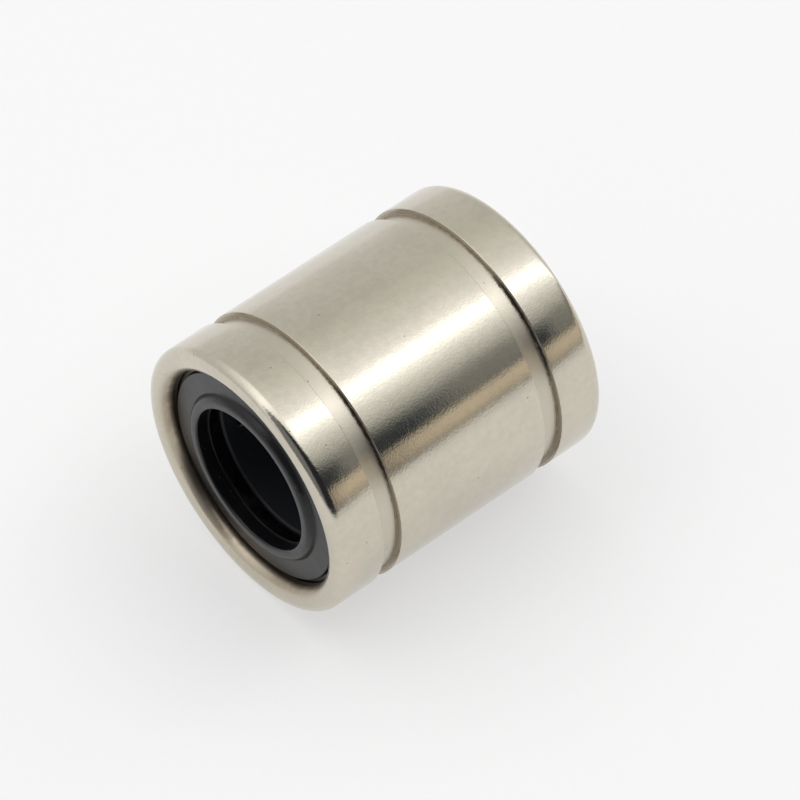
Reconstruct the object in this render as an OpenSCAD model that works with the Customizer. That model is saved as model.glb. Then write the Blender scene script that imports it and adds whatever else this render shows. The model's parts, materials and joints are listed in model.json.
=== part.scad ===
// Linear ball bushing, closed type, sealed at both ends.
// The bushing's axis lies along X, and the origin is the middle of its shaft bore.
// Four ball circuits run in a moulded retainer inside a ground steel sleeve. In each
// one a loaded row rolls on the shaft, a return row runs beside it a little further
// out, and a half-turn joins them at each end. The front end is at -X. Millimetres.

/* [Envelope] */
// Diameter of the shaft that the balls roll on
shaft_d = 8; // [7.95:0.01:8]
// Outer diameter of the sleeve
outer_d = 15; // [14.9:0.1:16]
// Length over the sleeve's end faces
length = 17; // [17:0.5:20]
// Radius that rounds the sleeve's outer edges
end_round = 0.5; // [0.2:0.05:0.6]

/* [Retaining ring grooves] */
// Distance over the outer walls of the two grooves
groove_span = 11.5; // [11:0.1:12]
// Width of each groove
groove_w = 1.1; // [0.9:0.05:1.3]
// Diameter of the groove floors
groove_floor_d = 14.3; // [14:0.1:14.6]
// Chamfer on the grooves' edges
groove_break = 0.04; // [0.02:0.01:0.08]

/* [Ball circuits] */
// Number of ball circuits around the shaft
circuits = 4; // [3:1:4]
// Angle of the first circuit's loaded row from +Z, turned about +X
first_circuit = -10; // [-45:1:45]
// Diameter of a ball
ball_d = 1.5; // [1.46:0.01:1.5]
// Balls on each straight of a circuit
straight_balls = 5; // [3:1:5]
// Radius of the half-turns, on the balls' centre line
turn_r = 1.075; // [1.075:0.005:1.1]
// How much higher the return row lies than the loaded row
return_rise = 0.25; // [0.2:0.01:0.3]
// Clearance between the loaded balls and the sleeve's raceway
race_play = 0.03; // [0.01:0.01:0.05]
// Clearance around a ball in the round bottom of the retainer's track
track_play = 0.05; // [0.04:0.01:0.06]
// Extra clearance around a ball in the half-turns
turn_play = 0.02; // [0.01:0.01:0.03]
// Clearance beside a ball between the track's straight walls
wall_play = 0.03; // [0.02:0.01:0.03]
// Clearance outside the returning balls
return_play = 0.11; // [0.08:0.01:0.12]

/* [Retainer] */
// Clearance between the shaft and the retainer's bore
retainer_bore_play = 0.15; // [0.1:0.01:0.2]
// Clearance between the retainer and the sleeve's raceway
retainer_play = 0.08; // [0.05:0.01:0.1]
// Gap between each end of the retainer and the recess it sits in
retainer_float = 0.05; // [0.02:0.01:0.1]
// Chamfer on the retainer's end edges
retainer_break = 0.1; // [0.05:0.01:0.15]

/* [End rings] */
// Diameter of the seat that holds an end ring and a seal in the sleeve
seat_d = 12.8; // [12.7:0.1:13.2]
// Inner diameter of the sleeve's lips, rolled over the seals' rims
lip_d = 12.3; // [12.2:0.05:12.3]
// Radius that rounds the lips into the end faces
mouth_round = 0.65; // [0.5:0.05:0.65]
// Thickness of an end ring
ring_t = 1; // [0.9:0.05:1]
// Diameter of the hole in an end ring
ring_bore_d = 8.7; // [8.5:0.1:9]
// Depth of the recess that centres the retainer
ring_recess = 0.25; // [0.2:0.01:0.3]

/* [Seals] */
// Depth of a seal's back face below the sleeve's end
seal_back = 1.25; // [1.15:0.05:1.35]
// Depth of a seal's flat face below the sleeve's end
seal_face = 0.68; // [0.55:0.01:0.75]
// Depth of the collar's crest below the sleeve's end
collar_crest = 0.35; // [0.25:0.01:0.4]
// Outer diameter of the raised collar around the shaft
collar_d = 9.1; // [8.8:0.05:9.2]
// Width of the slope from the collar's crest down to the flat face
collar_slope = 0.4; // [0.2:0.05:0.5]
// Radius that rounds the collar's crest
collar_round = 0.12; // [0.05:0.01:0.15]
// Diameter of the seal's raised flat face
seal_face_d = 11.8; // [11.4:0.1:12]
// Thickness of the seal's thin rim
seal_rim_t = 0.3; // [0.28:0.01:0.35]
// Radius of the bead that snaps into the sleeve
bead_r = 0.1; // [0.08:0.01:0.11]

/* [Hidden] */
$fn = 96;
// Small overrun that lets a cutter pass a face cleanly
over = 0.5;
// Play of the rings and seals in their seats
seat_play = 0.01;
// Room left around the seal's bead in its groove
bead_play = 0.03;
// Gap between a lip and the rim of its seal
lip_play = 0.05;
// Radial play around the retainer in the recesses that centre it
recess_play = 0.02;
// Depth to which a seal's bead is sunk below the seal's rim
bead_sink = 0.02;
// Length by which the raceway runs on past the straights
raceway_end = 0.1;
// Angle by which a half-turn's track runs on into the straights
turn_overlap = 3;
// Length of the ramp that leads balls into the raceway
lead_in = 0.3;

shaft_r = shaft_d / 2;
outer_r = outer_d / 2;
ball_r = ball_d / 2;
seat_r = seat_d / 2;
lip_r = lip_d / 2;
lip_back = seal_back - seal_rim_t - lip_play;
collar_r = collar_d / 2;

// Pitch at which two balls share each half-turn
pitch = PI * turn_r / 2;
straight_l = straight_balls * pitch;
// Lean of a circuit's plane, outwards from the loaded row
lean = asin(return_rise / (2 * turn_r));
loaded_r = shaft_r + ball_r;
return_y = 2 * turn_r * cos(lean);
return_z = loaded_r + return_rise;
return_r = norm([return_y, return_z]);

raceway_r = loaded_r + ball_r + race_play;
relief_r = return_r + ball_r + return_play;
// Half length of the raceway, just past the straights
raceway_half = straight_l / 2 + raceway_end;
track_r = ball_r + track_play;
wall_gap = ball_r + wall_play;
retainer_r = raceway_r - retainer_play;
retainer_bore_r = shaft_r + retainer_bore_play;

// Depth of the shoulder that an end ring rests on
shoulder = seal_back + ring_t;
shoulder_x = length / 2 - shoulder;
retainer_half = shoulder_x + ring_recess - retainer_float;
bead_depth = seal_back - seal_rim_t / 2;
bead_centre_r = seat_r - bead_sink;

SLEEVE_COLOUR = [0.80, 0.77, 0.69];
RING_COLOUR = [0.20, 0.20, 0.20];
BALL_COLOUR = [0.86, 0.87, 0.88];
RETAINER_COLOUR = [0.09, 0.09, 0.10];
SEAL_COLOUR = [0.15, 0.15, 0.16];

BALL_ROWS = ["loaded_balls", "return_balls", "front_turn_balls", "rear_turn_balls"];

// Revolves an outline drawn as [radius, distance along X] about the X axis
module about_axis() {
    rotate([0, 90, 0])
        rotate_extrude()
            children();
}

// Places a piece drawn inwards from the end face at the front end
module at_front() {
    translate([-length / 2, 0, 0])
        children();
}

// The same piece at the rear end
module at_rear() {
    mirror([1, 0, 0])
        at_front()
            children();
}

// Rectangle between two radii and two distances along X
module band(r0, r1, x0, x1) {
    translate([r0, x0])
        square([r1 - r0, x1 - x0]);
}

// Moves to circuit k: its loaded row is the line Y = 0 at radius loaded_r before the turn
module at_circuit(k) {
    rotate([first_circuit + (k - 1) * 360 / circuits, 0, 0])
        children();
}

// Moves to the middle of circuit k's loop, with X along the rows, Y from the loaded
// row to the return row, and Z out of the loop's plane
module at_loop(k) {
    at_circuit(k)
        translate([0, 0, loaded_r])
            rotate([lean, 0, 0])
                translate([0, turn_r, 0])
                    children();
}

// ---- Sleeve ----

// Sleeve body without its bore, edges rounded
module sleeve_blank() {
    half = length / 2;
    band(0, outer_r - end_round, -half, half);
    band(0, outer_r, -half + end_round, half - end_round);
    for (side = [-1, 1])
        translate([outer_r - end_round, side * (half - end_round)])
            circle(r = end_round);
}

// Outline of one retaining ring groove, centred on X = 0
module groove_outline() {
    floor_r = groove_floor_d / 2;
    half_w = groove_w / 2;
    polygon([
        [floor_r, -half_w],
        [outer_r - groove_break, -half_w],
        [outer_r + over, -half_w - groove_break - over],
        [outer_r + over, half_w + groove_break + over],
        [outer_r - groove_break, half_w],
        [floor_r, half_w]
    ]);
}

// Half of the stepped bore, from the middle of the sleeve out through one end
module half_bore_outline() {
    half = length / 2;
    ramp_end = raceway_half + lead_in;
    polygon([
        [0, -over],
        [raceway_r, -over],
        [raceway_r, raceway_half],
        [raceway_r + lead_in, ramp_end],
        [relief_r, ramp_end],
        [relief_r, shoulder_x],
        [seat_r, shoulder_x],
        [seat_r, half - lip_back],
        [lip_r, half - lip_back],
        [lip_r, half - mouth_round],
        [0, half - mouth_round]
    ]);
    difference() {
        band(0, lip_r + mouth_round, half - mouth_round, half + over);
        translate([lip_r + mouth_round, half - mouth_round])
            circle(r = mouth_round);
    }
    translate([bead_centre_r, half - bead_depth])
        circle(r = bead_r + bead_play);
}

// Channel in the sleeve for a circuit's returning balls
module return_channel(k) {
    channel_l = 2 * (raceway_half + lead_in);
    at_circuit(k)
        translate([-channel_l / 2, return_y, return_z])
            rotate([0, 90, 0])
                cylinder(r = ball_r + return_play, h = channel_l);
}

module outer_sleeve() {
    color(SLEEVE_COLOUR)
        difference() {
            about_axis()
                difference() {
                    sleeve_blank();
                    for (side = [-1, 1])
                        translate([0, side * (groove_span - groove_w) / 2])
                            groove_outline();
                    half_bore_outline();
                    mirror([0, 1])
                        half_bore_outline();
                }
            for (k = [1:circuits])
                return_channel(k);
        }
}

// ---- Retainer ----

// Round-bottomed track that a circuit's balls run in, open towards the sleeve
module ball_track(k) {
    half_l = straight_l / 2;
    at_loop(k) {
        for (side = [-1, 1]) {
            translate([-half_l, side * turn_r, 0])
                rotate([0, 90, 0])
                    cylinder(r = track_r, h = straight_l);
            translate([side * half_l, 0, 0])
                rotate([0, 0, -side * 90 - turn_overlap])
                    rotate_extrude(angle = 180 + 2 * turn_overlap)
                        translate([turn_r, 0])
                            circle(r = track_r + turn_play);
        }
        linear_extrude(height = ball_d)
            difference() {
                loop_outline(turn_r + wall_gap);
                loop_outline(turn_r - wall_gap);
            }
    }
}

// Slot shape with round ends of radius r about the loop's two turn centres
module loop_outline(r) {
    square([straight_l, 2 * r], center = true);
    for (side = [-1, 1])
        translate([side * straight_l / 2, 0])
            circle(r = r);
}

// Section of the retainer's plain tube
module retainer_outline() {
    half = retainer_half;
    polygon([
        [retainer_bore_r, -half + retainer_break],
        [retainer_bore_r + retainer_break, -half],
        [retainer_r - retainer_break, -half],
        [retainer_r, -half + retainer_break],
        [retainer_r, half - retainer_break],
        [retainer_r - retainer_break, half],
        [retainer_bore_r + retainer_break, half],
        [retainer_bore_r, half - retainer_break]
    ]);
}

module ball_retainer() {
    color(RETAINER_COLOUR)
        difference() {
            about_axis()
                retainer_outline();
            for (k = [1:circuits])
                ball_track(k);
        }
}

// ---- End rings and seals, drawn inwards from the end face ----

module end_ring() {
    color(RING_COLOUR)
        about_axis()
            difference() {
                band(ring_bore_d / 2, seat_r - seat_play, seal_back, shoulder);
                band(0, retainer_r + recess_play, shoulder - ring_recess, shoulder + over);
            }
}

// Raised collar around the shaft, with a rounded crest and a sloping outside
module collar_outline() {
    polygon([
        [shaft_r, collar_crest + collar_round],
        [collar_r, collar_crest + collar_round],
        [collar_r + collar_slope, seal_face],
        [collar_r + collar_slope, seal_back],
        [shaft_r, seal_back]
    ]);
    band(shaft_r + collar_round, collar_r - collar_round, collar_crest, seal_back);
    for (r = [shaft_r + collar_round, collar_r - collar_round])
        translate([r, collar_crest + collar_round])
            circle(r = collar_round);
}

module seal() {
    color(SEAL_COLOUR)
        about_axis() {
            collar_outline();
            band(collar_r - collar_round, seal_face_d / 2, seal_face, seal_back);
            band(collar_r, seat_r - seat_play, seal_back - seal_rim_t, seal_back);
            translate([bead_centre_r, bead_depth])
                circle(r = bead_r);
        }
}

module end_ring_front() {
    at_front()
        end_ring();
}

module end_ring_rear() {
    at_rear()
        end_ring();
}

module seal_front() {
    at_front()
        seal();
}

module seal_rear() {
    at_rear()
        seal();
}

// ---- Balls ----

module ball() {
    color(BALL_COLOUR)
        sphere(r = ball_r);
}

// The balls on one straight: side -1 is the loaded row, side 1 the return row
module straight_row(k, side) {
    at_loop(k)
        for (i = [0:straight_balls - 1])
            translate([(i + 0.5) * pitch - straight_l / 2, side * turn_r, 0])
                ball();
}

// The two balls in one half-turn: side -1 is the front end, side 1 the rear end
module turn_row(k, side) {
    at_loop(k)
        for (angle = [-45, 45])
            translate([side * (straight_l / 2 + turn_r * cos(angle)), turn_r * sin(angle), 0])
                ball();
}

// One row of circuit k, chosen by its name
module ball_row(row, k) {
    if (row == "loaded_balls") straight_row(k, -1);
    if (row == "return_balls") straight_row(k, 1);
    if (row == "front_turn_balls") turn_row(k, -1);
    if (row == "rear_turn_balls") turn_row(k, 1);
}

outer_sleeve();
ball_retainer();
end_ring_front();
end_ring_rear();
seal_front();
seal_rear();
for (k = [1:circuits], row = BALL_ROWS)
    ball_row(row, k);
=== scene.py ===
"""Looks of the sealed linear ball bushing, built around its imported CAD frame.

The bushing lies along X with its front end at -X, as in the frame. Lengths named in
capitals are millimetres, and mesh code turns them into metres with MM.
"""
import json
import math

import bmesh
import bpy
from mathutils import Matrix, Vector


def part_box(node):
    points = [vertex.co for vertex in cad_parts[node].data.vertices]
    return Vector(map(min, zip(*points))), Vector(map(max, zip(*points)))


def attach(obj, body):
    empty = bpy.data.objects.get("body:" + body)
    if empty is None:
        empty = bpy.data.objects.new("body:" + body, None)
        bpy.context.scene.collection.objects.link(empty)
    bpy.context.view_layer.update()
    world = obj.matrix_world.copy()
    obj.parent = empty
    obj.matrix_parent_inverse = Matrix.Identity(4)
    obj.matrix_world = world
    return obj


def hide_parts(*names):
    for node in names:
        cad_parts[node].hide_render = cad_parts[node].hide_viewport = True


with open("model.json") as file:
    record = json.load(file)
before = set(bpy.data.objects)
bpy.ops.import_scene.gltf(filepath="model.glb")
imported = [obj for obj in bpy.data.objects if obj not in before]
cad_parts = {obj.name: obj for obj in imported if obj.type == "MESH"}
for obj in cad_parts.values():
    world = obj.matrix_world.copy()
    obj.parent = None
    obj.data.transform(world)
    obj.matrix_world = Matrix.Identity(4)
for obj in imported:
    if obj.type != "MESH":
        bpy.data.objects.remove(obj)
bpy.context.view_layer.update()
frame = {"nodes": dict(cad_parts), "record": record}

MM = 0.001

# ---- Sizes that come from the frame, in millimetres ----


def mount(name):
    """The record's mount of that name."""
    return next(m for m in frame["record"]["mounts"] if m["name"] == name)


def span(node, axis):
    """Lowest and highest coordinate of a CAD node along one axis."""
    low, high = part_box(node)
    return low[axis] / MM, high[axis] / MM


GROOVE = mount("ring_groove_rear")
GROOVE_FLOOR_R = GROOVE["dims"]["r_mm"]
GROOVE_HALF_W = GROOVE["dims"]["length_mm"] / 2
GROOVE_MID = GROOVE["pos_m"][0] / MM
SHAFT_R = mount("rear_shaft_bore")["dims"]["r_mm"]
HALF_LENGTH = span("outer_sleeve", 0)[1]
OUTER_R = span("outer_sleeve", 1)[1]
RING_R = span("end_ring_rear", 1)[1]
SHOULDER_X, RING_FRONT_X = span("end_ring_rear", 0)
SEAL_BACK_X, COLLAR_X = span("seal_rear", 0)
RETAINER_R = span("ball_retainer", 1)[1]

# ---- Sizes of details that the frame doesn't name ----

# Outer edge of the sleeve's ends, and its mouth, rolled over the seal's rim
END_ROUND = 0.56
MOUTH_ROUND = 0.65
LIP_R = 6.15
LIP_PLAY = 0.05

# Inside of the sleeve
SEAT_R = RING_R + 0.01
RELIEF_R = 6.3
RACEWAY_R = 5.53
RACEWAY_HALF = 4.32
LEAD_IN = 0.3
RETURN_PLAY = 0.11

# Seal. The shallow groove in its bore has four corners, at these distances from its back.
SEAL_FACE_X = HALF_LENGTH - 0.68
SEAL_FACE_R = 5.9
SEAL_RIM = 0.3
COLLAR_R = 4.55
COLLAR_SLOPE = 0.2
SEAL_GROOVE_CORNERS = (0.10, 0.12, 0.26, 0.32)
SEAL_GROOVE_DEPTH = 0.07

# End ring
RING_BORE_R = 4.35
RING_RECESS = 0.25
RING_RECESS_R = RETAINER_R + 0.02

# Fineness of the turned pieces
SEGMENTS = 360
FILLET_STEPS = 6
SHARP_ANGLE = math.radians(35)


# ---- Mesh building ----


def rounded(corners):
    """Closed outline through (x, r, fillet) corners, each fillet drawn as an arc."""
    points = []
    count = len(corners)
    for i, (x, r, fillet) in enumerate(corners):
        here = Vector((x, r))
        back = (Vector(corners[i - 1][:2]) - here).normalized()
        ahead = (Vector(corners[(i + 1) % count][:2]) - here).normalized()
        half_angle = back.angle(ahead) / 2
        centre = here + (back + ahead).normalized() * fillet / math.sin(half_angle)
        reach = fillet / math.tan(half_angle)
        start = here + back * reach - centre
        end = here + ahead * reach - centre
        sweep = start.angle_signed(end)
        for step in range(FILLET_STEPS + 1):
            angle = -sweep * step / FILLET_STEPS
            turned = Vector((
                start.x * math.cos(angle) - start.y * math.sin(angle),
                start.x * math.sin(angle) + start.y * math.cos(angle),
            ))
            points.append(centre + turned)
    return points


def lathe(name, outline, shape=None):
    """Closed outline of (x, r) points turned about X. shape(x, r, angle) may adjust each point."""
    mesh = bmesh.new()
    rings = []
    for i in range(SEGMENTS):
        angle = 2 * math.pi * i / SEGMENTS
        ring = []
        for x, r in outline:
            if shape:
                x, r = shape(x, r, angle)
            ring.append(mesh.verts.new(
                (x * MM, r * math.cos(angle) * MM, r * math.sin(angle) * MM)))
        rings.append(ring)
    count = len(outline)
    for i in range(SEGMENTS):
        here, after = rings[i], rings[(i + 1) % SEGMENTS]
        for j in range(count):
            k = (j + 1) % count
            mesh.faces.new((here[j], here[k], after[k], after[j]))
    bmesh.ops.recalc_face_normals(mesh, faces=mesh.faces)
    data = bpy.data.meshes.new(name)
    mesh.to_mesh(data)
    mesh.free()
    data.polygons.foreach_set("use_smooth", [True] * len(data.polygons))
    data.set_sharp_from_angle(angle=SHARP_ANGLE)
    piece = bpy.data.objects.new(name, data)
    bpy.context.scene.collection.objects.link(piece)
    return piece


# ---- Node building ----


class Graph:
    """Adds nodes to a tree. Inputs are numbers, tuples or other nodes' outputs."""

    def __init__(self, tree):
        self.tree = tree
        tree.nodes.clear()

    def add(self, kind, inputs=None, **settings):
        made = self.tree.nodes.new(kind)
        for key, value in settings.items():
            setattr(made, key, value)
        for key, value in (inputs or {}).items():
            socket = made.inputs[key]
            if isinstance(value, bpy.types.NodeSocket):
                self.tree.links.new(value, socket)
            elif isinstance(value, tuple) and len(value) == 3 and socket.type == "RGBA":
                socket.default_value = (*value, 1.0)
            else:
                socket.default_value = value
        return made

    def math(self, operation, a, b=0.0, clamp=False):
        made = self.add("ShaderNodeMath", {0: a, 1: b}, operation=operation, use_clamp=clamp)
        return made.outputs[0]

    def plus(self, a, b):
        return self.math("ADD", a, b)

    def minus(self, a, b):
        return self.math("SUBTRACT", a, b)

    def times(self, a, b):
        return self.math("MULTIPLY", a, b)

    def total(self, *terms):
        """Sum of values, each times its weight."""
        (value, weight), *others = terms
        result = self.times(value, weight)
        for value, weight in others:
            result = self.plus(result, self.times(value, weight))
        return result

    def step(self, value, low, high, start=0.0, end=1.0):
        """Smooth step from start to end as value goes from low to high."""
        inputs = {
            "Value": value, "From Min": low, "From Max": high, "To Min": start, "To Max": end}
        made = self.add("ShaderNodeMapRange", inputs, interpolation_type="SMOOTHSTEP")
        return made.outputs["Result"]

    def mix(self, factor, a, b):
        """Colour between a and b."""
        return self.add("ShaderNodeMix", {0: factor, 6: a, 7: b}, data_type="RGBA").outputs[2]

    def blend(self, factor, a, b):
        """Number between a and b."""
        return self.add("ShaderNodeMix", {0: factor, 2: a, 3: b}, data_type="FLOAT").outputs[0]

    def ramp(self, value, stops):
        """Colour ramp through (position, colour) stops."""
        made = self.add("ShaderNodeValToRGB", {"Fac": value})
        elements = made.color_ramp.elements
        while len(elements) < len(stops):
            elements.new(0.5)
        for element, (position, colour) in zip(elements, stops):
            element.position = position
            element.color = (*colour, 1.0)
        return made.outputs["Color"]

    def split(self, vector):
        return self.add("ShaderNodeSeparateXYZ", {0: vector}).outputs

    def scaled(self, vector, scale):
        made = self.add("ShaderNodeVectorMath", {0: vector, 1: scale}, operation="MULTIPLY")
        return made.outputs[0]

    def noise(self, vector, scale, detail=3.0, roughness=0.5):
        inputs = {"Vector": vector, "Scale": scale, "Detail": detail, "Roughness": roughness}
        return self.add("ShaderNodeTexNoise", inputs).outputs["Fac"]

    def streaks(self, vector, scale, roughness=0.5):
        """Noise with its own scale along each axis."""
        return self.noise(self.scaled(vector, scale), 1.0, roughness=roughness)

    def specks(self, vector, scale, inner, outer):
        """Sparse round specks: 1 inside their inner radius, 0 past the outer one."""
        cells = self.add("ShaderNodeTexVoronoi", {"Vector": vector, "Scale": scale})
        return self.step(cells.outputs["Distance"], inner, outer, 1.0, 0.0)

    def bump(self, height, distance):
        inputs = {"Height": height, "Strength": 1.0, "Distance": distance}
        return self.add("ShaderNodeBump", inputs).outputs[0]


def millimetres(graph):
    """The frame's coordinates in millimetres."""
    coordinates = graph.add("ShaderNodeTexCoord").outputs["Object"]
    return graph.scaled(coordinates, (1 / MM,) * 3)


def material(name, paint, **shader):
    """A material whose constant shader values are given, and whose other inputs paint() returns."""
    made = bpy.data.materials.new(name)
    made.use_nodes = True
    graph = Graph(made.node_tree)
    inputs = {**shader, **paint(graph)}
    surface = graph.add("ShaderNodeBsdfPrincipled", inputs)
    graph.add("ShaderNodeOutputMaterial", {"Surface": surface.outputs["BSDF"]})
    return made


# ---- Materials. Noise scales are per millimetre, and bump heights are millimetres ----

PLATE_DARK = (0.57, 0.53, 0.445)
PLATE_LIGHT = (0.625, 0.575, 0.48)
PLATE_IN_GROOVE = (0.58, 0.535, 0.45)
# Painted shade: the plate's colour darkened inside the sleeve's mouth, and darker again deeper in
MOUTH_SHADED = (0.44, 0.38, 0.29)
DEEP_INSIDE_SHADED = (0.30, 0.25, 0.18)
GRIME = (0.20, 0.15, 0.10)
PIT = (0.10, 0.09, 0.07)
WALL_FILM = (0.30, 0.235, 0.15)
# Darker colours laid in the grooves' corners and along their edges: brown, and nearly black on one
# stretch
GROOVE_MARK_BROWN = (0.26, 0.20, 0.13)
GROOVE_MARK_BLACK = (0.03, 0.024, 0.017)

PLATE_ROUGH = 0.12
GROOVE_ROUGH = 0.31
DULL_ROUGH = 0.5

# The way round the X axis, from +Y over +Z, that the blackest stretch of the grooves faces,
# and the cosines of the angles from it where the blackening starts and where it is full
BLACKEST_SIDE = math.radians(132)
BLACKEST_FROM = 0.90
BLACKEST_FULL = 0.97


def groove_wall(graph, x):
    """Distance from the nearest wall plane of a ring groove, less than 0 inside the groove."""
    from_middle = graph.minus(graph.math("ABSOLUTE", x), GROOVE_MID)
    return graph.minus(graph.math("ABSOLUTE", from_middle), GROOVE_HALF_W)


def blackest_stretch(graph, y, z, radius):
    """1 on the stretch of the grooves where their darkening is nearly black, else 0."""
    side = graph.total((y, math.cos(BLACKEST_SIDE)), (z, math.sin(BLACKEST_SIDE)))
    return graph.step(graph.math("DIVIDE", side, radius), BLACKEST_FROM, BLACKEST_FULL)


def groove_darkening(graph, wall, radius, blackest, mottle, stains):
    """How dark the grooves' corners and edges are made, and where the walls are."""
    rough_edge = graph.times(graph.minus(mottle, 0.5), 0.25)
    from_wall = graph.plus(graph.math("ABSOLUTE", wall), rough_edge)
    at_wall = graph.step(from_wall, 0.03, 0.13, 1.0, 0.0)
    depth = graph.plus(graph.minus(radius, GROOVE_FLOOR_R), rough_edge)
    deep = graph.step(graph.minus(depth, graph.times(blackest, 0.16)), 0.02, 0.10, 1.0, 0.0)
    from_edge = graph.math("ABSOLUTE", graph.minus(radius, OUTER_R - 0.05))
    edge = graph.step(from_edge, 0.01, 0.05, 0.45, 0.0)
    groove_dark = graph.times(at_wall, graph.math("MAXIMUM", deep, edge))
    groove_dark = graph.times(groove_dark, graph.step(graph.plus(stains, blackest), 0.35, 0.75, 0.6, 1.0))
    return groove_dark, at_wall


def paint_sleeve(graph):
    vector = millimetres(graph)
    x, y, z = graph.split(vector)
    radius = graph.math("SQRT", graph.total((y, y), (z, z)))

    waves = graph.noise(vector, 0.45)
    mottle = graph.noise(vector, 2.6, roughness=0.6)
    grain = graph.noise(vector, 8.0, roughness=0.6)
    stains = graph.noise(vector, 0.33, roughness=0.55)
    grinding = graph.streaks(vector, (22, 3, 3), 0.6)
    turning = graph.streaks(vector, (16, 0.8, 0.8), 0.6)

    # Where the grooves are, and where the mouth turns in. Inside the mouth the plate is dull, and
    # its colour is darkened as painted shade, more so deeper in
    wall = groove_wall(graph, x)
    below = graph.step(radius, OUTER_R - 0.14, OUTER_R - 0.06, 1.0, 0.0)
    in_groove = graph.times(below, graph.step(wall, 0.0, 0.1, 1.0, 0.0))
    from_end = graph.minus(HALF_LENGTH, graph.math("ABSOLUTE", x))
    hollow = graph.step(radius, LIP_R + 0.6, LIP_R + 0.7, 1.0, 0.0)
    dull_and_shaded = graph.times(hollow, graph.step(from_end, 0.0, 0.2))
    inside = graph.times(hollow, graph.step(from_end, 0.25, 0.7))

    blackest = blackest_stretch(graph, y, z, radius)
    groove_dark, at_wall = groove_darkening(graph, wall, radius, blackest, mottle, stains)
    film = graph.times(graph.times(at_wall, below), 0.55)

    # Small pits and nicks in the plating
    pits = graph.times(graph.specks(vector, 1.1, 0.03, 0.055), 0.8)

    # Brown grime creeps out of the recess over the lip here and there
    patches = graph.plus(stains, graph.times(mottle, 0.3))
    grime = graph.times(hollow, graph.step(from_end, 0.02, 0.4))
    grime = graph.times(grime, graph.step(patches, 0.60, 0.80))

    tone = graph.total((stains, 0.5), (mottle, 0.5))
    colour = graph.mix(graph.step(tone, 0.35, 0.65), PLATE_DARK, PLATE_LIGHT)
    colour = graph.mix(graph.times(in_groove, 0.6), colour, PLATE_IN_GROOVE)
    # Painted shade inside the mouth, deepening further in
    colour = graph.mix(graph.times(dull_and_shaded, 0.8), colour, MOUTH_SHADED)
    colour = graph.mix(graph.times(inside, 0.5), colour, DEEP_INSIDE_SHADED)
    colour = graph.mix(graph.times(grime, 0.6), colour, GRIME)
    colour = graph.mix(pits, colour, PIT)
    # Darkens the grooves' corners and edges, nearly black on one stretch
    colour = graph.mix(groove_dark, colour, graph.mix(blackest, GROOVE_MARK_BROWN, GROOVE_MARK_BLACK))
    colour = graph.mix(graph.times(film, graph.minus(1.0, groove_dark)), colour, WALL_FILM)

    # The grooves' darkening and the film are dull and not metallic
    dull = graph.math("MAXIMUM", groove_dark, graph.times(dull_and_shaded, 0.6))
    rough = graph.blend(dull, graph.blend(in_groove, PLATE_ROUGH, GROOVE_ROUGH), DULL_ROUGH)
    uneven = graph.total((grinding, 0.10), (mottle, 0.08))
    rough = graph.plus(rough, graph.minus(uneven, 0.09))
    metal = graph.minus(1.0, graph.math("MAXIMUM", groove_dark, film))

    height = graph.total(
        (grain, 0.0048),
        (mottle, 0.0010),
        (grinding, 0.0004),
        (waves, 0.005),
        (graph.times(turning, in_groove), 0.0035),
        (pits, -0.006),
    )
    return {
        "Base Color": colour,
        "Metallic": metal,
        "Roughness": rough,
        "Normal": graph.bump(height, MM),
    }


def paint_rubber(graph):
    vector = millimetres(graph)
    grain = graph.noise(vector, 9.0, 4.0, 0.65)
    blotch = graph.noise(vector, 1.3)
    dust = graph.specks(vector, 2.4, 0.05, 0.09)
    colour = graph.mix(grain, (0.004, 0.004, 0.005), (0.009, 0.009, 0.011))
    colour = graph.mix(dust, colour, (0.07, 0.07, 0.065))
    rough = graph.blend(graph.total((blotch, 0.6), (grain, 0.4)), 0.14, 0.30)
    normal = graph.bump(graph.total((grain, 0.012), (blotch, 0.02)), MM)
    return {"Base Color": colour, "Roughness": rough, "Normal": normal}


def paint_resin(graph):
    vector = millimetres(graph)
    grain = graph.noise(vector, 14.0)
    flow = graph.streaks(vector, (0.6, 2.5, 2.5))
    colour = graph.mix(grain, (0.018, 0.020, 0.024), (0.030, 0.032, 0.038))
    rough = graph.blend(flow, 0.28, 0.45)
    return {"Base Color": colour, "Roughness": rough, "Normal": graph.bump(grain, 0.002 * MM)}


def paint_ring(graph):
    vector = millimetres(graph)
    lines = graph.streaks(vector, (18, 1.5, 1.5))
    oil = graph.step(graph.noise(vector, 1.2), 0.35, 0.65)
    colour = graph.mix(oil, (0.035, 0.035, 0.036), (0.075, 0.072, 0.068))
    rough = graph.blend(lines, 0.2, 0.4)
    return {"Base Color": colour, "Roughness": rough, "Normal": graph.bump(lines, 0.003 * MM)}


def paint_ball(graph):
    film = graph.noise(millimetres(graph), 3.0)
    colour = graph.mix(film, (0.58, 0.58, 0.59), (0.68, 0.68, 0.69))
    rough = graph.blend(film, 0.05, 0.12)
    return {"Base Color": colour, "Roughness": rough, "Normal": graph.bump(film, 0.001 * MM)}


# Painted light: the floor glows, against the distance from its middle in parts of GLOW_REACH. The
# glow dips near the middle as a painted contact shadow round the bushing.
GLOW_REACH = 400
GLOW_AND_PAINTED_SHADOW_STOPS = [(0.02, (0.52,) * 3), (0.05, (0.59,) * 3), (0.20, (0.60,) * 3), (0.60, (0.44,) * 3)]


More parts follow.
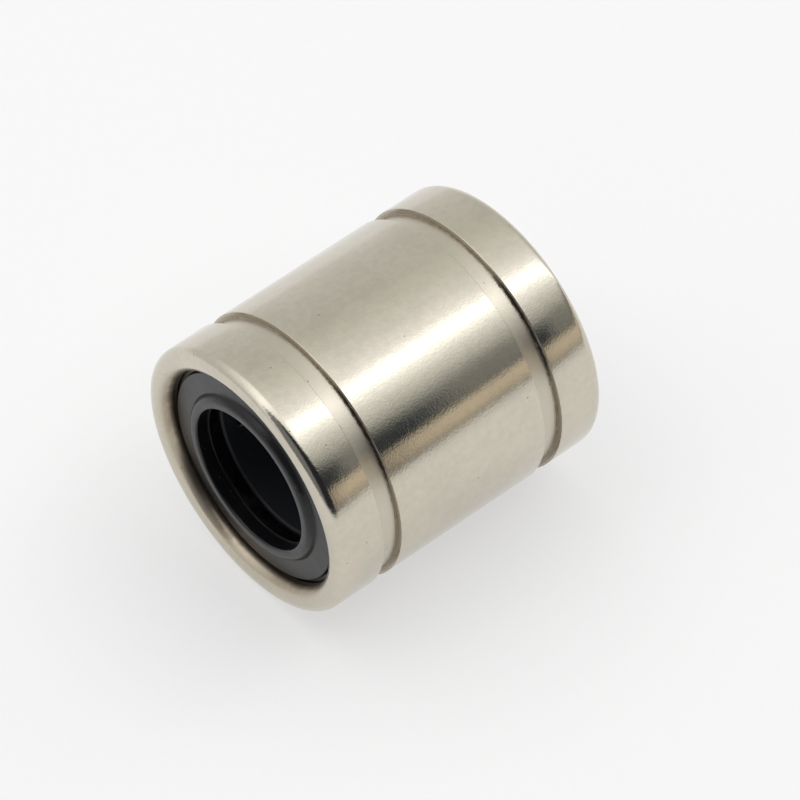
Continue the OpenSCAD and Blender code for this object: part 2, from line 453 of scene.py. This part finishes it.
def paint_floor(graph):
    vector = millimetres(graph)
    grain = graph.noise(vector, 2.0, 4.0, 0.6)
    colour = graph.mix(grain, (0.37, 0.37, 0.37), (0.39, 0.39, 0.39))
    away = graph.add("ShaderNodeVectorMath", {0: vector}, operation="LENGTH").outputs["Value"]
    # Painted light and shadow: the floor's glow, dimmed near the bushing as a painted contact
    # shadow
    glow_and_painted_shadow = graph.ramp(graph.math("DIVIDE", away, GLOW_REACH), GLOW_AND_PAINTED_SHADOW_STOPS)
    return {"Base Color": colour, "Emission Color": glow_and_painted_shadow}


nickel = material("nickel_plate", paint_sleeve)
rubber = material("seal_rubber_black", paint_rubber, **{"Specular IOR Level": 0.38})
resin = material("retainer_resin_black", paint_resin, **{"Specular IOR Level": 0.2})
ring_steel = material("ring_steel_blackened", paint_ring, Metallic=1.0)
ball_steel = material("ball_steel_polished", paint_ball, Metallic=1.0)
floor_white = material(
    "floor_white", paint_floor, **{"Roughness": 0.9, "Emission Strength": 1.0})

for name, part in frame["nodes"].items():
    if "balls" in name or name == "ball_retainer":
        part.data.materials.clear()
        part.data.materials.append(resin if name == "ball_retainer" else ball_steel)

# ---- Sleeve, end rings and seals. Outlines are lists of (x, r, fillet) corners ----


def both_ends(half):
    """Whole outline from the corners of its +X half, which start and end at the middle."""
    return half + [(-x, r, fillet) for x, r, fillet in reversed(half)]


def sleeve_outline():
    inner = GROOVE_MID - GROOVE_HALF_W
    outer = GROOVE_MID + GROOVE_HALF_W
    lip_back = SEAL_BACK_X + SEAL_RIM + LIP_PLAY
    ramp_end = RACEWAY_HALF + LEAD_IN
    return both_ends([
        (inner, OUTER_R, 0.04),
        (inner, GROOVE_FLOOR_R, 0.05),
        (outer, GROOVE_FLOOR_R, 0.05),
        (outer, OUTER_R, 0.04),
        (HALF_LENGTH, OUTER_R, END_ROUND),
        (HALF_LENGTH, LIP_R, MOUTH_ROUND),
        (lip_back, LIP_R, 0.04),
        (lip_back, SEAT_R, 0.02),
        (SHOULDER_X, SEAT_R, 0.03),
        (SHOULDER_X, RELIEF_R, 0.03),
        (ramp_end, RELIEF_R, 0.05),
        (ramp_end, RACEWAY_R + LEAD_IN, 0.03),
        (RACEWAY_HALF, RACEWAY_R, 0.05),
    ])


def return_rows():
    """Radius and angle round the X axis of each returning row of balls, with its balls' radius."""
    rows = []
    for name in frame["nodes"]:
        if name.startswith("return_balls"):
            y0, y1 = span(name, 1)
            z0, z1 = span(name, 2)
            y, z = (y0 + y1) / 2, (z0 + z1) / 2
            rows.append((math.hypot(y, z), math.atan2(z, y), (z1 - z0) / 2))
    return rows


RETURN_ROWS = return_rows()
# End of the stretch that holds the return channels, past the raceway's last corner
CHANNEL_HALF = RACEWAY_HALF + LEAD_IN + 0.01


def open_channels(x, r, angle):
    """Widens the raceway where a channel lets the returning balls pass."""
    if abs(x) > CHANNEL_HALF or r > RELIEF_R:
        return x, r
    for row_r, row_angle, ball_r in RETURN_ROWS:
        turn = angle - row_angle
        aside = row_r * math.sin(turn)
        channel_r = ball_r + RETURN_PLAY
        if math.cos(turn) > 0 and abs(aside) < channel_r:
            reach = row_r * math.cos(turn) + math.sqrt(channel_r ** 2 - aside ** 2)
            r = max(r, min(reach, RELIEF_R))
    return x, r


def end_ring_outline():
    recess_x = SHOULDER_X + RING_RECESS
    return [
        (RING_FRONT_X, RING_BORE_R, 0.06),
        (RING_FRONT_X, RING_R, 0.04),
        (SHOULDER_X, RING_R, 0.04),
        (SHOULDER_X, RING_RECESS_R, 0.03),
        (recess_x, RING_RECESS_R, 0.03),
        (recess_x, RING_BORE_R, 0.06),
    ]


def seal_outline():
    rim_x = SEAL_BACK_X + SEAL_RIM
    groove_r = SHAFT_R + SEAL_GROOVE_DEPTH
    lip_x, groove_x, groove_end, ramp_end = (SEAL_BACK_X + away for away in SEAL_GROOVE_CORNERS)
    return [
        (COLLAR_X, SHAFT_R, 0.12),
        (COLLAR_X, COLLAR_R, 0.35),
        (SEAL_FACE_X, COLLAR_R + COLLAR_SLOPE, 0.04),
        (SEAL_FACE_X, SEAL_FACE_R, 0.08),
        (rim_x, SEAL_FACE_R, 0.05),
        (rim_x, RING_R, 0.04),
        (SEAL_BACK_X, RING_R, 0.04),
        (SEAL_BACK_X, SHAFT_R, 0.04),
        (lip_x, SHAFT_R, 0.02),
        (groove_x, groove_r, 0.01),
        (groove_end, groove_r, 0.02),
        (ramp_end, SHAFT_R, 0.02),
    ]


def turned_piece(node, outline, finish, shape=None):
    """A finely turned piece that stands for a CAD node of the bushing's body."""
    piece = lathe(node + "_turned", rounded(outline), shape)
    piece.data.materials.append(finish)
    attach(piece, "bushing")
    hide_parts(node)


def at_end(outline, end):
    """The outline at the rear end, or mirrored to the front end."""
    if end == "rear":
        return outline
    return [(-x, r, fillet) for x, r, fillet in outline]


turned_piece("outer_sleeve", sleeve_outline(), nickel, open_channels)
for end in ("front", "rear"):
    turned_piece("end_ring_" + end, at_end(end_ring_outline(), end), ring_steel)
    turned_piece("seal_" + end, at_end(seal_outline(), end), rubber)

# ---- Floor, studio and camera ----

FLOOR_HALF_WIDTH = 1000


def build_floor():
    reach = FLOOR_HALF_WIDTH * MM
    z = -OUTER_R * MM
    corners = [(-reach, -reach, z), (reach, -reach, z), (reach, reach, z), (-reach, reach, z)]
    data = bpy.data.meshes.new("floor")
    data.from_pydata(corners, [], [(0, 1, 2, 3)])
    data.materials.append(floor_white)
    made = bpy.data.objects.new("floor", data)
    bpy.context.scene.collection.objects.link(made)


# Brightness of the studio round the X axis, in degrees from +Y over +Z to -Y: on the side
# towards +X, which the outside of the sleeve reflects, and on the side towards -X
STUDIO_RIGHT = [
    (0, (0.80, 0.81, 0.80)),
    (20, (0.73, 0.74, 0.72)),
    (50, (0.69, 0.70, 0.67)),
    (66, (0.80, 0.80, 0.77)),
    (84, (1.00, 1.00, 1.00)),
    (97, (1.30, 1.30, 1.32)),
    (102, (1.60, 1.62, 1.70)),
    (106, (2.4, 2.4, 2.4)),
    (112, (2.4, 2.4, 2.4)),
    (117, (1.55, 1.58, 1.62)),
    (126, (1.00, 1.01, 1.00)),
    (138, (0.54, 0.55, 0.53)),
    (148, (0.06, 0.07, 0.08)),
    (160, (0.02, 0.03, 0.04)),
    (163, (0.74, 0.66, 0.54)),
    (173, (0.70, 0.61, 0.48)),
    (177, (0.30, 0.29, 0.26)),
    (180, (0.62, 0.62, 0.60)),
]
STUDIO_LEFT = [
    (0, (0.75, 0.75, 0.74)),
    (22, (0.75, 0.75, 0.74)),
    (38, (0.90, 0.90, 0.89)),
    (54, (1.10, 1.10, 1.10)),
    (74, (1.65, 1.65, 1.65)),
    (84, (1.60, 1.60, 1.60)),
    (98, (1.30, 1.30, 1.30)),
    (118, (1.50, 1.50, 1.50)),
    (140, (0.60, 0.60, 0.58)),
    (160, (0.10, 0.10, 0.11)),
]
HALF_TURN = 180

# In what follows, x and z are parts of a direction whose length is 1. A pair of numbers is
# where something starts to give way to the next and where it has.
SIDES_MEET = (0.0, 0.34)
HORIZON = (-0.02, 0.0)

# The right side's dark stripe, as the degrees where it starts, is full, thins and ends, and
# the grey that it partly fades to towards +X
STRIPE = (138, 148, 157, 162)
STRIPE_FADES = (0.38, 0.435)
STRIPE_FADED = (0.42, 0.42, 0.40)
STRIPE_FADE = 0.6

# The dark side starts at this angle where x is 0, and further round where x is greater. It
# gives way to the right side towards +X, and it is only dim towards -X.
DARK_FROM = 124.5
DARK_PER_X = 65
DARK_EDGE = 0.05
DARK_ENDS = (0.20, 0.38)
DARK = (0.028, 0.029, 0.036)
DIM_ENDS = (-0.75, -0.45)
DIM = (0.25, 0.25, 0.26)

FLOOR_GREY = (0.92, 0.92, 0.92)
BACKDROP = (0.96, 0.96, 0.96)


def studio_side(graph, turn, stops):
    """Colour of one side of the studio. turn goes from 0 at +Y to 1 at -Y."""
    return graph.ramp(turn, [(angle / HALF_TURN, colour) for angle, colour in stops])


def build_world():
    """A studio whose brightness depends on direction only, with a dark side behind the camera."""
    world = bpy.data.worlds.new("studio")
    world.use_nodes = True
    bpy.context.scene.world = world
    graph = Graph(world.node_tree)
    x, y, z = graph.split(graph.add("ShaderNodeTexCoord").outputs["Generated"])
    turn = graph.math("DIVIDE", graph.math("ARCTAN2", z, y), math.pi, clamp=True)
    right = studio_side(graph, turn, STUDIO_RIGHT)
    left = studio_side(graph, turn, STUDIO_LEFT)

    start, full, thin, stop = (angle / HALF_TURN for angle in STRIPE)
    stripe = graph.times(graph.step(turn, start, full), graph.step(turn, thin, stop, 1.0, 0.0))
    fade = graph.times(stripe, graph.step(x, *STRIPE_FADES))
    right = graph.mix(graph.times(fade, STRIPE_FADE), right, STRIPE_FADED)
    sides = graph.mix(graph.step(x, *SIDES_MEET), left, right)

    dark_from = graph.plus(graph.times(x, DARK_PER_X / HALF_TURN), DARK_FROM / HALF_TURN)
    past = graph.step(graph.minus(turn, dark_from), -DARK_EDGE, DARK_EDGE)
    dark = graph.times(past, graph.step(x, *DARK_ENDS, 1.0, 0.0))
    gloom = graph.mix(graph.step(x, *DIM_ENDS), DIM, DARK)
    sides = graph.mix(dark, sides, gloom)

    sky = graph.mix(graph.step(z, *HORIZON), FLOOR_GREY, sides)
    seen = graph.add("ShaderNodeLightPath").outputs["Is Camera Ray"]
    colour = graph.mix(seen, sky, BACKDROP)
    background = graph.add("ShaderNodeBackground", {"Color": colour, "Strength": 1.0})
    graph.add("ShaderNodeOutputWorld", {"Surface": background.outputs[0]})


CAMERA_AZIMUTH = -40.54
CAMERA_ELEVATION = 50.32
CAMERA_DISTANCE = 272.5
CAMERA_LENS = 247.5
CAMERA_SENSOR_WIDTH = 36
# Shift of the aim point, to the right and up in the camera's view
AIM_RIGHT = 1.2476
AIM_UP = -0.136


def build_camera():
    azimuth = math.radians(CAMERA_AZIMUTH)
    elevation = math.radians(CAMERA_ELEVATION)
    back = Vector((
        math.sin(azimuth) * math.cos(elevation),
        -math.cos(azimuth) * math.cos(elevation),
        math.sin(elevation),
    ))
    turn = (-back).to_track_quat("-Z", "Y")
    place = turn @ Vector((AIM_RIGHT, AIM_UP, CAMERA_DISTANCE))
    data = bpy.data.cameras.new("camera")
    data.lens = CAMERA_LENS
    data.sensor_width = CAMERA_SENSOR_WIDTH
    camera = bpy.data.objects.new("camera", data)
    camera.location = place * MM
    camera.rotation_mode = "QUATERNION"
    camera.rotation_quaternion = turn
    bpy.context.scene.collection.objects.link(camera)
    bpy.context.scene.camera = camera


build_floor()
build_world()
build_camera()
bpy.context.scene.view_settings.view_transform = "Standard"
